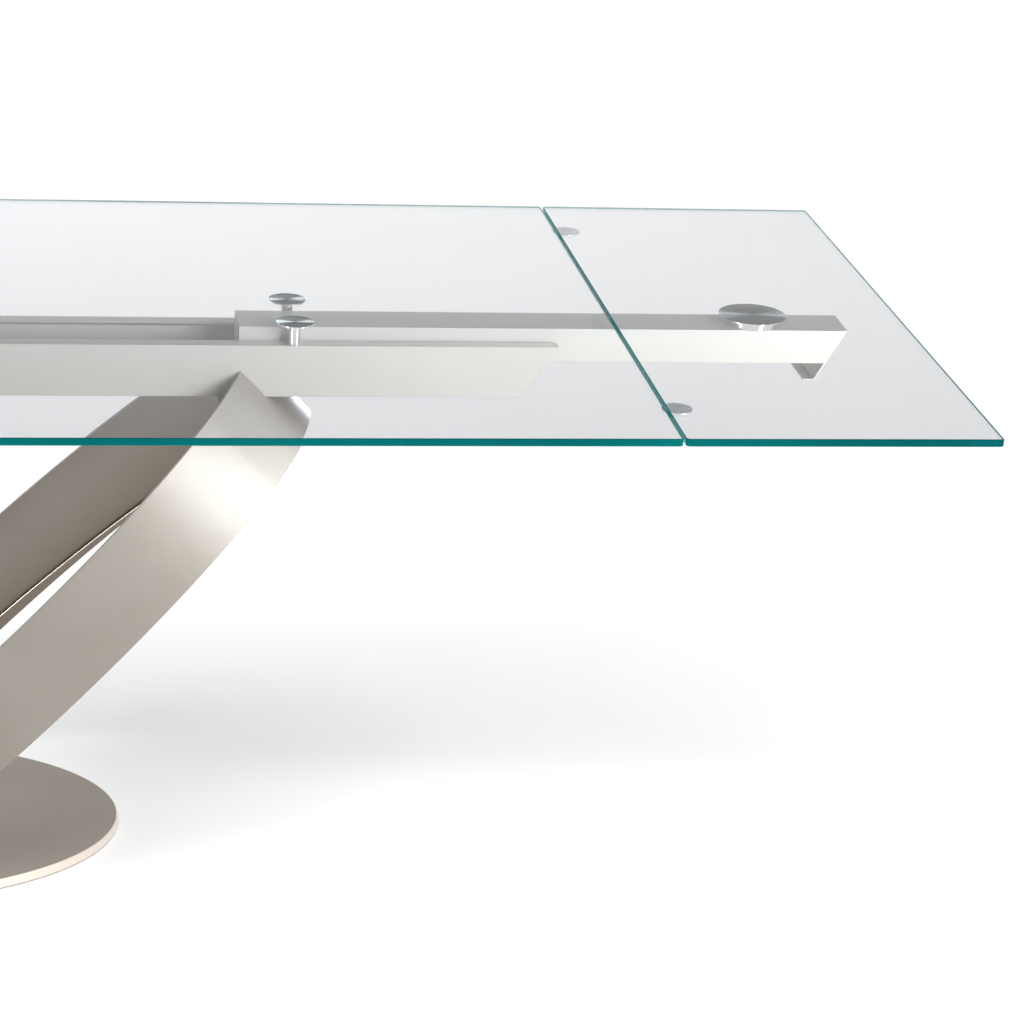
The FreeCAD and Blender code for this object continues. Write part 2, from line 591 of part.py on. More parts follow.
def support_disc():
    """The turned disc that carries the leaf, held by a screw from inside the rail."""
    depth = "(Dims.support_disc_thickness - Dims.disc_skin)"
    disc = drum_disc("disc_blank", (LEAF_CENTRE, 0, RAIL_TOP))
    thread = cylinder("disc_thread", "Dims.bolt_radius", depth, LEAF_CENTRE, 0, RAIL_TOP)
    bored = keep(cut("right_support_disc", disc, thread), "right_support_disc")
    mirror(bored, "left_support_disc")
    shank = cylinder("disc_screw_shank", "Dims.bolt_radius", f"{depth} + Dims.rail_wall",
                     LEAF_CENTRE, 0, f"{RAIL_TOP} - Dims.rail_wall")
    head = cylinder("disc_screw_head", "Dims.bolt_head", "Dims.bolt_head_height", LEAF_CENTRE, 0,
                    f"{RAIL_TOP} - Dims.rail_wall - Dims.bolt_head_height")
    screw = keep(fuse("right_disc_screw", [shank, head]), "right_disc_screw")
    mirror(screw, "left_disc_screw")


def leaf_tongues():
    """Two discs bonded under the leaf. Their inner edges reach a little under the main top."""
    discs = []
    at_x = "(Dims.main_length / 2 + Dims.leaf_gap + Dims.tongue_inset)"
    level = f"({GLASS_BOTTOM} - Dims.tongue_thickness)"
    for side in (-1, 1):
        place = (at_x, f"{side} * Dims.tongue_spacing", level)
        discs.append(turned_disc(f"tongue_{side + 1}", "Dims.tongue_radius", "Dims.tongue_foot",
                                 "Dims.tongue_thickness", place))
    pair = keep(group("right_leaf_tongues", discs), "right_leaf_tongues")
    mirror(pair, "left_leaf_tongues")


def build():
    glass_pane("main_top_glass", "Dims.main_length", "0")
    glass_pane("right_leaf_glass", "Dims.leaf_length", LEAF_CENTRE)
    glass_pane("left_leaf_glass", "Dims.leaf_length", f"-1 * {LEAF_CENTRE}")
    side_beams()
    cross_plates()
    pegs()
    base_rings()
    ring_stiffeners()
    top_plates()
    base_plate()
    guide_ledges()
    support_rollers()
    sliding_rail()
    rail_wheels()
    support_disc()
    leaf_tongues()
    doc.recompute()


def check():
    """Stops before anything is written if an object failed or a sub-part's shape is not sound."""
    for feature in doc.Objects:
        if "Invalid" in feature.State or "Error" in feature.State:
            raise RuntimeError(f"{feature.Label} failed: {feature.State}")
    for part in subparts:
        if part.Shape.isNull() or not part.Shape.isValid() or not part.Shape.Solids:
            raise RuntimeError(f"{part.Label} has no sound shape")


def write():
    os.makedirs("parts", exist_ok=True)
    for part in subparts:
        part.Shape.exportStep(f"parts/{part.Label}.step")
        print(part.Label, len(part.Shape.Solids), round(part.Shape.Volume))


build()
check()
write()
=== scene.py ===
"""Looks of the extendable glass table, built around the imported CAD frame. Metres, +Z up."""
import json
import math

import bmesh
import bpy
from mathutils import Matrix, Vector

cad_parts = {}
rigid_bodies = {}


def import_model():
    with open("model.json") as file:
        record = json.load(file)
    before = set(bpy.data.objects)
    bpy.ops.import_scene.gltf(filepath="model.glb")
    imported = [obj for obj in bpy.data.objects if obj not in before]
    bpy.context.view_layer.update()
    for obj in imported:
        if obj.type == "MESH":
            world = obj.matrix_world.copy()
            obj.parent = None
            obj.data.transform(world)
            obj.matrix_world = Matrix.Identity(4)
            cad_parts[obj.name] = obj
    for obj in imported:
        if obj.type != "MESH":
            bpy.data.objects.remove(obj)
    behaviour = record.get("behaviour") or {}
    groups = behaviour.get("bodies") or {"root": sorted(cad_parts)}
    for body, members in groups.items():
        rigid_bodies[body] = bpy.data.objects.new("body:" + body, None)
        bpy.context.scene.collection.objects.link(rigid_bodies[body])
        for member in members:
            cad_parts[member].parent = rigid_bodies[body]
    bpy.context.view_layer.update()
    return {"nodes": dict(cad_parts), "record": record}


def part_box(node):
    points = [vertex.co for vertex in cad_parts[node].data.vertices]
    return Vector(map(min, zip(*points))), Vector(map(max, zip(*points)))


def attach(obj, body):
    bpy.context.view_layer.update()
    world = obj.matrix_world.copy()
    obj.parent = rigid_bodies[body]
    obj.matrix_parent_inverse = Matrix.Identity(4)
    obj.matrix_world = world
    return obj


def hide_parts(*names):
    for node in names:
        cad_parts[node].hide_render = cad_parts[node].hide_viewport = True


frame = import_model()
nodes = frame["nodes"]
scene = bpy.context.scene


# ---------------------------------------------------------------- node helpers

class Graph:
    """A short way to write the node tree of a material or a world."""

    def __init__(self, owner):
        self.owner = owner
        self.owner.use_nodes = True
        self.tree = self.owner.node_tree
        self.tree.nodes.clear()

    def add(self, kind, inputs=None, **settings):
        node = self.tree.nodes.new(kind)
        for key, value in settings.items():
            setattr(node, key, value)
        for key, value in (inputs or {}).items():
            if isinstance(value, bpy.types.NodeSocket):
                self.tree.links.new(value, node.inputs[key])
            else:
                node.inputs[key].default_value = value
        return node

    def math(self, operation, first, second=0.0, third=0.0):
        return self.add("ShaderNodeMath", {0: first, 1: second, 2: third}, operation=operation).outputs[0]

    def noise(self, vector, scale, detail=3.0, roughness=0.5):
        inputs = {"Vector": vector, "Scale": scale, "Detail": detail, "Roughness": roughness}
        return self.add("ShaderNodeTexNoise", inputs).outputs["Fac"]

    def spread(self, value, low, high, from_low=0.3, from_high=0.7):
        """Spreads a noise's usual range, or the one given, evenly from low to high."""
        inputs = {"Value": value, "From Min": from_low, "From Max": from_high, "To Min": low, "To Max": high}
        return self.add("ShaderNodeMapRange", inputs).outputs["Result"]

    def two_tone(self, factor, first, second):
        """Mixes two colours, each a triple or another node's output."""
        inputs = {"Factor": factor}
        for key, tone in (("A", first), ("B", second)):
            inputs[key] = tone if isinstance(tone, bpy.types.NodeSocket) else (*tone, 1)
        return self.add("ShaderNodeMix", inputs, data_type="RGBA").outputs["Result"]

    def ramp(self, value, low, high, to_low, to_high):
        """Goes from to_low to to_high, with soft ends, as the value goes from low to high."""
        inputs = {"Value": value, "From Min": low, "From Max": high, "To Min": to_low, "To Max": to_high}
        return self.add("ShaderNodeMapRange", inputs, interpolation_type="SMOOTHSTEP").outputs["Result"]

    def stretched(self, scale):
        """The object's own coordinates, scaled along each axis."""
        place = self.add("ShaderNodeTexCoord").outputs["Object"]
        return self.add("ShaderNodeMapping", {"Vector": place, "Scale": scale}).outputs["Vector"]

    def bump(self, height, strength, distance, normal=None):
        inputs = {"Height": height, "Strength": strength, "Distance": distance}
        if normal is not None:
            inputs["Normal"] = normal
        return self.add("ShaderNodeBump", inputs).outputs["Normal"]

    def finish(self, surface, volume=None):
        output = self.add("ShaderNodeOutputMaterial", {"Surface": surface})
        if volume is not None:
            self.tree.links.new(volume, output.inputs["Volume"])
        return self.owner


# ------------------------------------------------------------------- materials

# The base plate's rim: turning lines every 3.4 mm, its upper end, and how much lighter its painted sheen
# makes it.
RIM_LINES, RIM_TOP, RIM_PAINTED_SHEEN = math.tau / 0.0034, 0.0149, 1.7
# How far away a surface may be and still add painted shade to the creases beside it.
CREASE_REACH = 0.22
GRAIN_SCALE, CLOUD_SCALE = 1400.0, 7.0
# A ring's outer face is an ellipse in a plane at 45 degrees. The wall stands square to that plane.
RING_HALF_LENGTH, RING_HALF_WIDTH, RING_WALL, RING_BAND = 0.535, 0.225, 0.006, 0.124
RING_CENTRE = Vector((0.2305, 0.0, 0.2171))
RING_ALONG = Vector((1, 0, 1)).normalized()
RING_UP = Vector((-1, 0, 1)).normalized()


def painted_inner_shade(g, deepest):
    """Painted shade for a ring, as a factor: full on its outer face. On its inner face, it falls to deepest
    at the lower edge.
    """
    coords = g.add("ShaderNodeTexCoord")
    place = g.add("ShaderNodeSeparateXYZ", {"Vector": coords.outputs["Object"]}).outputs
    facing = g.add("ShaderNodeSeparateXYZ", {"Vector": coords.outputs["Normal"]}).outputs
    mirrored = g.math("MULTIPLY", facing["X"], g.math("SIGN", place["X"]))
    normal = g.add("ShaderNodeCombineXYZ", {"X": mirrored, "Y": facing["Y"], "Z": facing["Z"]}).outputs[0]
    right = {"X": g.math("ABSOLUTE", place["X"]), "Y": place["Y"], "Z": place["Z"]}
    spot = g.add("ShaderNodeCombineXYZ", right).outputs[0]
    arm = g.add("ShaderNodeVectorMath", {0: spot, 1: RING_CENTRE}, operation="SUBTRACT").outputs[0]
    rise = g.add("ShaderNodeVectorMath", {0: arm, 1: RING_UP}, operation="DOT_PRODUCT").outputs["Value"]
    outward = g.add("ShaderNodeVectorMath", {0: arm, 1: normal}, operation="DOT_PRODUCT").outputs["Value"]
    fade = g.ramp(rise, 0.0, 0.8 * RING_BAND, deepest, 1.0)
    return g.math("MAXIMUM", fade, g.math("GREATER_THAN", outward, 0.0))


def satin_paint(name, light, dark, crease_shade, roughness, metallic, inner_shade=None):
    """Metallic powder coat: fine grain, faint cloudiness, rounded edges, painted shade in creases, a rim
    painted lighter as a painted sheen.

    Given an inner-face share, a ring's inner face also gets painted shade, darker towards its lower edge,
    where it reaches that share.
    """
    g = Graph(bpy.data.materials.new(name))
    place = g.add("ShaderNodeTexCoord").outputs["Object"]
    grain = g.noise(place, GRAIN_SCALE, 2.0)
    level = g.add("ShaderNodeSeparateXYZ", {"Vector": place}).outputs["Z"]
    lines = g.math("SINE", g.math("MULTIPLY", level, RIM_LINES))
    facing = g.add("ShaderNodeTexCoord").outputs["Normal"]
    upright = g.math("ABSOLUTE", g.add("ShaderNodeSeparateXYZ", {"Vector": facing}).outputs["Z"])
    on_rim = g.math("MULTIPLY", g.math("LESS_THAN", level, RIM_TOP), g.math("LESS_THAN", upright, 0.8))
    lines = g.math("MULTIPLY", lines, on_rim)
    cloud = g.noise(place, CLOUD_SCALE, 4.0)
    streak = g.noise(g.stretched((3.0, 3.0, 60.0)), 6.0, 3.0)
    tone = g.math("ADD", g.math("MULTIPLY", grain, 0.45), g.math("MULTIPLY", cloud, 0.55))
    paint = g.two_tone(g.spread(tone, 0.0, 1.0, 0.36, 0.64), dark, light)
    # Painted shade: where ambient occlusion finds surfaces close by, the colour moves to the shade tone, a
    # painted shadow in creases and under overhangs.
    open_air = g.add("ShaderNodeAmbientOcclusion", {"Distance": CREASE_REACH}, samples=8).outputs["AO"]
    open_air = g.spread(open_air, 0.0, 1.0, 0.35, 0.95)
    # Painted shade on a ring's inner face, deepening towards its lower edge.
    if inner_shade:
        open_air = g.math("MULTIPLY", open_air, painted_inner_shade(g, inner_shade))
    shaded = g.two_tone(open_air, crease_shade, paint)
    # Painted sheen: the rim low on each piece is painted lighter than the paint, standing in for the light
    # it catches.
    colour = g.two_tone(on_rim, shaded, tuple(min(1.0, c * RIM_PAINTED_SHEEN) for c in light))
    rough = g.spread(g.math("ADD", g.math("MULTIPLY", cloud, 0.6), g.math("MULTIPLY", streak, 0.4)),
                     roughness - 0.035, roughness + 0.035)
    edge = g.add("ShaderNodeBevel", {"Radius": 0.0009}, samples=4).outputs["Normal"]
    normal = g.bump(lines, 0.35, 0.0004, g.bump(grain, 0.12, 0.0004, edge))
    shader = g.add("ShaderNodeBsdfPrincipled", {
        "Base Color": colour, "Metallic": metallic, "Roughness": rough, "Normal": normal,
        "Coat Weight": 0.6, "Coat Roughness": 0.24, "Coat IOR": 1.6,
    })
    return g.finish(shader.outputs["BSDF"])


EDGE_DARK, EDGE_LIGHT = (0.001, 0.240, 0.260), (0.003, 0.430, 0.445)


def clear_glass(name):
    """Float glass that bends light, with a saturated edge. Shadow and diffuse rays go straight through."""
    g = Graph(bpy.data.materials.new(name))
    coords = g.add("ShaderNodeTexCoord")
    upright = g.add("ShaderNodeSeparateXYZ", {"Vector": coords.outputs["Normal"]}).outputs["Z"]
    on_edge = g.math("LESS_THAN", g.math("ABSOLUTE", upright), 0.9)
    band = g.noise(g.stretched((2.5, 2.5, 0.0)), 1.0, 2.0)
    polish = g.noise(g.stretched((60.0, 60.0, 900.0)), 3.0, 2.0)
    tone = g.math("ADD", g.math("MULTIPLY", band, 0.7), g.math("MULTIPLY", polish, 0.3))
    face = g.add("ShaderNodeBsdfPrincipled", {
        "Base Color": (0.870, 0.872, 0.893, 1), "Roughness": 0.0, "IOR": 1.52, "Transmission Weight": 1.0,
    })
    rim = g.add("ShaderNodeBsdfPrincipled", {
        "Base Color": g.two_tone(g.spread(tone, 0.0, 1.0), EDGE_DARK, EDGE_LIGHT),
        "Roughness": g.spread(polish, 0.05, 0.10), "IOR": 1.52, "Specular IOR Level": 0.1,
        "Transmission Weight": 0.30, "Specular Tint": (0.1, 0.9, 0.9, 1),
    })
    solid = g.add("ShaderNodeMixShader", {"Fac": on_edge, 1: face.outputs["BSDF"], 2: rim.outputs["BSDF"]})
    path = g.add("ShaderNodeLightPath")
    lets_by = g.math("MAXIMUM", path.outputs["Is Shadow Ray"], path.outputs["Is Diffuse Ray"])
    tint = g.add("ShaderNodeBsdfTransparent", {"Color": (0.985, 0.992, 0.992, 1)})
    shader = g.add("ShaderNodeMixShader", {"Fac": lets_by, 1: solid.outputs[0], 2: tint.outputs["BSDF"]})
    depth = g.add("ShaderNodeVolumeAbsorption", {"Color": (0.30, 0.80, 0.82, 1), "Density": 2.0})
    return g.finish(shader.outputs[0], depth.outputs["Volume"])


# The painted highlight on a disc's face, a fan of light fixed in its colour: its turn in radians, strength
# and colour.
PAINTED_FAN_TURN, PAINTED_FAN_DEPTH, PAINTED_FAN_COLOUR = 1.45, 0.9, (0.86, 0.90, 0.89)


def spun_metal(name, colour, roughness, rings):
    """Turned metal: fine rings and a painted highlight of two fixed fans on the face, and a polished side.
    """
    g = Graph(bpy.data.materials.new(name))
    coords = g.add("ShaderNodeTexCoord")
    shift = {0: coords.outputs["Generated"], 1: (0.5, 0.5, 0.0)}
    centred = g.add("ShaderNodeVectorMath", shift, operation="SUBTRACT").outputs[0]
    flat = g.add("ShaderNodeVectorMath", {0: centred, 1: (1.0, 1.0, 0.0)}, operation="MULTIPLY").outputs[0]
    radius = g.add("ShaderNodeVectorMath", {0: flat}, operation="LENGTH").outputs["Value"]
    along = g.add("ShaderNodeCombineXYZ", {"X": g.math("MULTIPLY", radius, rings)}).outputs[0]
    groove = g.noise(along, 1.0, 4.0, 0.7)
    grooved = g.two_tone(g.spread(groove, 0.0, 1.0), tuple(c * 0.55 for c in colour), colour)
    across = g.add("ShaderNodeSeparateXYZ", {"Vector": flat}).outputs
    angle = g.math("ARCTAN2", across["Y"], across["X"])
    # Painted highlight: two opposite fans of lighter colour, fixed on the face whatever the lamps do.
    painted_fan = g.math("SINE", g.math("MULTIPLY_ADD", angle, 2.0, PAINTED_FAN_TURN))
    shade = g.two_tone(g.ramp(painted_fan, 0.55, 1.0, 0.0, PAINTED_FAN_DEPTH), grooved, PAINTED_FAN_COLOUR)
    tangent = g.add("ShaderNodeTangent", direction_type="RADIAL", axis="Z").outputs[0]
    edge = g.add("ShaderNodeBevel", {"Radius": 0.0004}, samples=4).outputs["Normal"]
    face = g.add("ShaderNodeBsdfPrincipled", {
        "Base Color": shade, "Metallic": 1.0,
        "Roughness": g.spread(groove, roughness - 0.05, roughness + 0.05),
        "Anisotropic": 0.95, "Anisotropic Rotation": 0.25, "Tangent": tangent,
        "Normal": g.bump(groove, 0.2, 0.0002, edge),
    })
    polish = g.noise(g.stretched((20.0, 20.0, 900.0)), 6.0, 2.0)
    side = g.add("ShaderNodeBsdfPrincipled", {
        "Base Color": g.two_tone(g.spread(polish, 0.0, 1.0), (0.74, 0.74, 0.74), (0.84, 0.84, 0.83)),
        "Metallic": 1.0, "Roughness": g.spread(polish, 0.08, 0.14), "Normal": edge,
    })
    upright = g.add("ShaderNodeSeparateXYZ", {"Vector": coords.outputs["Normal"]}).outputs["Z"]
    on_face = g.math("GREATER_THAN", upright, 0.7)
    shader = g.add("ShaderNodeMixShader", {"Fac": on_face, 1: side.outputs["BSDF"], 2: face.outputs["BSDF"]})
    return g.finish(shader.outputs[0])


def plain_metal(name, light, dark, roughness):
    """Metal with faint turning marks and uneven polish."""
    g = Graph(bpy.data.materials.new(name))
    marks = g.noise(g.stretched((30.0, 30.0, 300.0)), 8.0, 3.0)
    patch = g.noise(g.add("ShaderNodeTexCoord").outputs["Object"], 45.0, 2.0)
    colour = g.two_tone(g.spread(marks, 0.0, 1.0), dark, light)
    rough = g.spread(g.math("ADD", g.math("MULTIPLY", marks, 0.6), g.math("MULTIPLY", patch, 0.4)),
                     max(0.02, roughness - 0.05), roughness + 0.05)
    edge = g.add("ShaderNodeBevel", {"Radius": 0.0004}, samples=4).outputs["Normal"]
    shader = g.add("ShaderNodeBsdfPrincipled", {
        "Base Color": colour, "Metallic": 1.0, "Roughness": rough,
        "Normal": g.bump(marks, 0.08, 0.0002, edge),
    })
    return g.finish(shader.outputs["BSDF"])


def soft_plastic(name, light, dark, roughness, grain_scale):
    """Nylon, felt or rubber: no metal in it, with a fine uneven grain."""
    g = Graph(bpy.data.materials.new(name))
    place = g.add("ShaderNodeTexCoord").outputs["Object"]
    grain = g.noise(place, grain_scale, 4.0, 0.65)
    edge = g.add("ShaderNodeBevel", {"Radius": 0.0005}, samples=4).outputs["Normal"]
    shader = g.add("ShaderNodeBsdfPrincipled", {
        "Base Color": g.two_tone(g.spread(grain, 0.0, 1.0), dark, light),
        "Roughness": g.spread(grain, roughness - 0.06, roughness + 0.06),
        "Normal": g.bump(grain, 0.3, 0.0004, edge),
    })
    return g.finish(shader.outputs["BSDF"])


# Each paint's light tone, dark tone and the dark tone of its painted shade in creases. The pale paint is
# painted light: the rings' taupe made paler and less warm, standing in for the stronger light on the beams
# and rails.
TAUPE = (0.355, 0.312, 0.268), (0.310, 0.268, 0.226), (0.165, 0.122, 0.085)
PALE_PAINTED_LIGHT = (0.410, 0.386, 0.350), (0.370, 0.347, 0.313), (0.370, 0.347, 0.313)
MATERIALS = {
    "clear_glass": clear_glass("clear_glass_look"),
    "taupe_paint": satin_paint("taupe_paint_look", *TAUPE, 0.42, 0.40),
    "pale_paint": satin_paint("pale_painted_light_look", *PALE_PAINTED_LIGHT, 0.42, 0.35),
    "spun_aluminium": spun_metal("spun_aluminium_look", (0.13, 0.165, 0.160), 0.26, 90.0),
    "satin_aluminium": plain_metal("satin_aluminium_look", (0.95, 0.94, 0.95), (0.90, 0.89, 0.90), 0.30),
    "polished_steel": plain_metal("polished_steel_look", (0.80, 0.79, 0.77), (0.70, 0.69, 0.68), 0.12),
    "zinc_steel": plain_metal("zinc_steel_look", (0.62, 0.63, 0.65), (0.50, 0.51, 0.54), 0.32),
    "nylon": soft_plastic("nylon_look", (0.70, 0.69, 0.66), (0.62, 0.61, 0.58), 0.45, 500.0),
    "felt_rubber": soft_plastic("felt_rubber_look", (0.035,) * 3, (0.012,) * 3, 0.85, 900.0),
}
# The rings' taupe, with painted shade on each ring's inner face that grows towards its lower edge.
RING_INNER_SHADE_LOOK = satin_paint("ring_paint_inner_shade_look", *TAUPE, 0.42, 0.40, 0.25)


def dress_nodes():
    """Gives every CAD node the look of its material slot. The rings have their own form of the taupe, with
    painted shade on their inner faces.
    """
    for part in frame["record"]["subparts"]:
        look = RING_INNER_SHADE_LOOK if "ring" in part["node"] else MATERIALS[part["material_slot"]]
        data = nodes[part["node"]].data
        data.materials.clear()
        data.materials.append(look)


# --------------------------------------------------------------- detail pieces

# The strip inside a ring: thickness, where its taper ends along the ring, and the taper's angle.
STIFFENER, STIFFENER_END, STIFFENER_TAPER = 0.005, 0.380, math.radians(2.1)
# The rings' seam runs between these places along a ring, from its foot to the wall's upper edge.
SEAM_FOOT, SEAM_TOP = -0.3059, -0.2020
# On the plane between the rings, rise is along + ON_MIDDLE. On the base plate it is ON_BASE - along.
ON_MIDDLE, ON_BASE = 0.3260, -0.2858
FOOT_BEAD_LEVEL = 0.0155
SHARP_ANGLE = math.radians(28)
BROKEN_EDGE = 0.0003
# How far out, along the table, the bead under a ring's plate begins.
PLATE_BEAD_START = 0.484


def add_piece(name, bm, body, slot, mirrored=False):
    """Turns a bmesh into a smooth-shaded piece with a slot's look, and ties it to a body."""
    if mirrored:
        bmesh.ops.scale(bm, vec=(-1, 1, 1), verts=bm.verts)
        bmesh.ops.reverse_faces(bm, faces=bm.faces)
    bmesh.ops.recalc_face_normals(bm, faces=bm.faces)
    mesh = bpy.data.meshes.new(name)
    bm.to_mesh(mesh)
    bm.free()
    mesh.materials.append(MATERIALS[slot])
    mesh.shade_smooth()
    mesh.set_sharp_from_angle(angle=SHARP_ANGLE)
    piece = bpy.data.objects.new(name, mesh)
    scene.collection.objects.link(piece)
    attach(piece, body)
    return piece


def sweep(bm, points, radius, ripple=0.0, sides=10):
    """A round bead along a line of points, with closed ends and, for a weld, a rippled width."""
    rings = []
    for index, point in enumerate(points):
        ahead = points[min(index + 1, len(points) - 1)] - points[max(index - 1, 0)]
        turn = ahead.to_track_quat("Z", "Y")
        size = radius * (1.0 + ripple * math.sin(index * 2.4) + 0.4 * ripple * math.sin(index * 5.1))
        spokes = [turn @ Vector((math.cos(step), math.sin(step), 0)) * size
                  for step in (math.tau * side / sides for side in range(sides))]
        rings.append([bm.verts.new(point + spoke) for spoke in spokes])
    for first, second in zip(rings, rings[1:]):
        for side in range(sides):
            after = (side + 1) % sides
            bm.faces.new((first[side], first[after], second[after], second[side]))
    bm.faces.new(rings[0][::-1])
    bm.faces.new(rings[-1])


def lathe(bm, profile, centre, steps=72):
    """A turned shape about an upright axis, from (radius, height) pairs. A radius of 0 closes it."""
    rings = []
    for radius, height in profile:
        count = steps if radius > 0 else 1
        turns = [math.tau * i / steps for i in range(count)]
        places = [Vector((radius * math.cos(turn), radius * math.sin(turn), height)) for turn in turns]
        rings.append([bm.verts.new(centre + place) for place in places])
    for first, second in zip(rings, rings[1:]):
        for i in range(steps):
            corners = [first[i % len(first)], first[(i + 1) % len(first)],
                       second[(i + 1) % len(second)], second[i % len(second)]]
            bm.faces.new(list(dict.fromkeys(corners)))


def ring_point(turn, shrink, rise):
    """A point on the ring's wall: round the ellipse, in from its outer face, up from its lower edge."""
    along = RING_ALONG * ((RING_HALF_LENGTH - shrink) * math.cos(turn))
    across = Vector((0, (RING_HALF_WIDTH - shrink) * math.sin(turn), 0))
    return RING_CENTRE + along + across + RING_UP * rise


def stiffener_edges(side):
    """The rounded inner edge of the strip, on both arms of one ring."""
    bm = bmesh.new()
    shrink = RING_WALL + STIFFENER
    for sign in (-1, 1):
        points = []
        for step in range(121):
            turn = math.radians(46 + step * 0.9)
            reach = STIFFENER_END - (RING_HALF_LENGTH - shrink) * math.cos(turn)
            rise = reach * math.tan(STIFFENER_TAPER)
            point = ring_point(sign * turn, shrink, rise)
            if rise > 0.002 and point.x > 0.002 and point.z > 0.018:
                points.append(point)
        sweep(bm, points, 0.0011)
    add_piece(f"{side}_stiffener_edge", bm, "frame", "taupe_paint", side == "left")


def seam_welds():
    """Ground-down welds where the two rings meet, and beads where they stand on the plate."""
    bm = bmesh.new()
    for sign in (-1, 1):
        seam = []
        for step in range(41):
            along = SEAM_FOOT + step / 40 * (SEAM_TOP - SEAM_FOOT)
            turn = math.acos(along / RING_HALF_LENGTH)
            seam.append(ring_point(sign * turn, 0.0, along + ON_MIDDLE))
        sweep(bm, seam, 0.0013, 0.10)
        for shrink in (0.0, RING_WALL):
            foot = []
            for step in range(-30, 31):
                along = SEAM_FOOT + abs(step) / 30 * (ON_BASE - SEAM_FOOT)
                turn = math.acos(along / (RING_HALF_LENGTH - shrink))
                point = ring_point(sign * turn, shrink, ON_BASE - along)
                foot.append(Vector((math.copysign(point.x, step), point.y, FOOT_BEAD_LEVEL)))
            sweep(bm, foot, 0.0024, 0.16)
    add_piece("foot_welds", bm, "frame", "taupe_paint")


def plate_weld(side):
    """The bead under the plate that closes a ring, along the ring's inner face."""
    bm = bmesh.new()
    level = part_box(f"{side}_top_plate")[0][2]
    points = []
    for step in range(-60, 61):
        turn = math.radians(step * 0.5)
        along = (RING_HALF_LENGTH - RING_WALL) * math.cos(turn)
        rise = (level - RING_CENTRE.z) / RING_UP.z - along
        point = ring_point(turn, RING_WALL, rise)
        if 0 < rise < RING_BAND and point.x > PLATE_BEAD_START:
            points.append(point)
    sweep(bm, points, 0.0022, 0.16)
    add_piece(f"{side}_plate_weld", bm, "frame", "taupe_paint", side == "left")


def socket_heads(side):
    """Cap screws with a bevelled head and a hexagon socket, in place of the plain bolts."""
    low, high = (Vector(corner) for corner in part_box(f"{side}_top_bolts"))
    head, shank, depth, bevel = 0.0065, 0.0040, 0.0050, 0.0007
    socket, socket_rim = 0.0029, 1.18
    rim_level, mouth_level, floor_level = 0.0001, 0.0002, 0.0028
    bm = bmesh.new()
    for at_x in (low.x + head, high.x - head):
        for at_y in (low.y + head, high.y - head):
            centre = Vector((at_x, at_y, low.z))
            rise = high.z - low.z
            lathe(bm, [(0.0034, mouth_level), (head - bevel, 0.0), (head, bevel), (head, depth),
                       (shank, depth), (shank, rise - 0.001), (shank - 0.001, rise), (0, rise)], centre)
            turns = [math.tau * i / 6 for i in range(6)]
            hexagon = [Vector((socket * math.cos(turn), socket * math.sin(turn), 0)) for turn in turns]
            mouth = [bm.verts.new(centre + corner + Vector((0, 0, mouth_level))) for corner in hexagon]
            floor = [bm.verts.new(centre + corner + Vector((0, 0, floor_level))) for corner in hexagon]
            rim = [bm.verts.new(centre + corner * socket_rim + Vector((0, 0, rim_level)))
                   for corner in hexagon]
            for i in range(6):
                after = (i + 1) % 6
                bm.faces.new((mouth[i], mouth[after], floor[after], floor[i]))
                bm.faces.new((rim[i], rim[after], mouth[after], mouth[i]))
            bm.faces.new(floor)
    piece = add_piece(f"{side}_socket_screws", bm, "frame", "zinc_steel")
    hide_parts(f"{side}_top_bolts")


def peg_stems():
    """Turned stems with a shadow groove under the disc and a small foot, in place of the plain ones."""
    for place in ("front_left", "rear_left", "front_right", "rear_right"):
        low, high = (Vector(corner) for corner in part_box(f"peg_stem_{place}"))
        radius, height = (high.x - low.x) / 2, high.z - low.z
        centre = Vector(((low.x + high.x) / 2, (low.y + high.y) / 2, low.z))
        waist, broken = radius - 0.0008, radius - BROKEN_EDGE
        foot, collar = 0.0016, height - 0.0013
        profile = [
            (0, 0), (broken, 0), (radius, BROKEN_EDGE), (radius, foot), (broken, foot + BROKEN_EDGE),
            (waist, foot + BROKEN_EDGE), (waist, collar - BROKEN_EDGE), (broken, collar - BROKEN_EDGE),
            (radius, collar), (radius, height), (0, height),
        ]
        bm = bmesh.new()
        lathe(bm, profile, centre)
        piece = add_piece(f"turned_stem_{place}", bm, "frame", "polished_steel")
        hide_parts(f"peg_stem_{place}")


def dished_tongues(side):
    """The discs under a leaf, each with a broken rim and a shallow turned dish in its bonded face."""
    low, high = (Vector(corner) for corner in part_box(f"{side}_leaf_tongues"))
    radius, height = (high.x - low.x) / 2, high.z - low.z
    foot, land, broken = radius * 2 / 3, radius - 0.0010, radius - BROKEN_EDGE
    rim, middle, dish = height - 0.0018, 0.0016, height - 0.0016
    profile = [
        (0, 0), (foot, 0), (broken, rim - BROKEN_EDGE), (radius, rim), (radius, height - BROKEN_EDGE),
        (broken, height), (land, height), (middle, dish), (0, dish),
    ]
    bm = bmesh.new()
    for at_y in (low.y + radius, high.y - radius):
        lathe(bm, profile, Vector((low.x + radius, at_y, low.z)))
    piece = add_piece(f"{side}_dished_tongues", bm, f"{side}_leaf", "satin_aluminium")
    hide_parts(f"{side}_leaf_tongues")


def details():
    """Adds every finer piece. Both sides of the table get the same ones."""
    for side in ("right", "left"):
        dished_tongues(side)
        stiffener_edges(side)
        plate_weld(side)
        socket_heads(side)
    seam_welds()
    peg_stems()


# ------------------------------------------------------------- studio and view

FLOOR_SHADE = 0.80
# The room's brightness overhead, to the right and all round, and what it adds for rays in the glass.
CEILING, SIDE, DIM_ROOM, GLASS_ROOM = 0.45, 0.40, 0.07, 0.75
# The far wall's brightness low down and higher up, with a soft change between.
WALL_LOW, WALL_HIGH = 0.98, 0.14


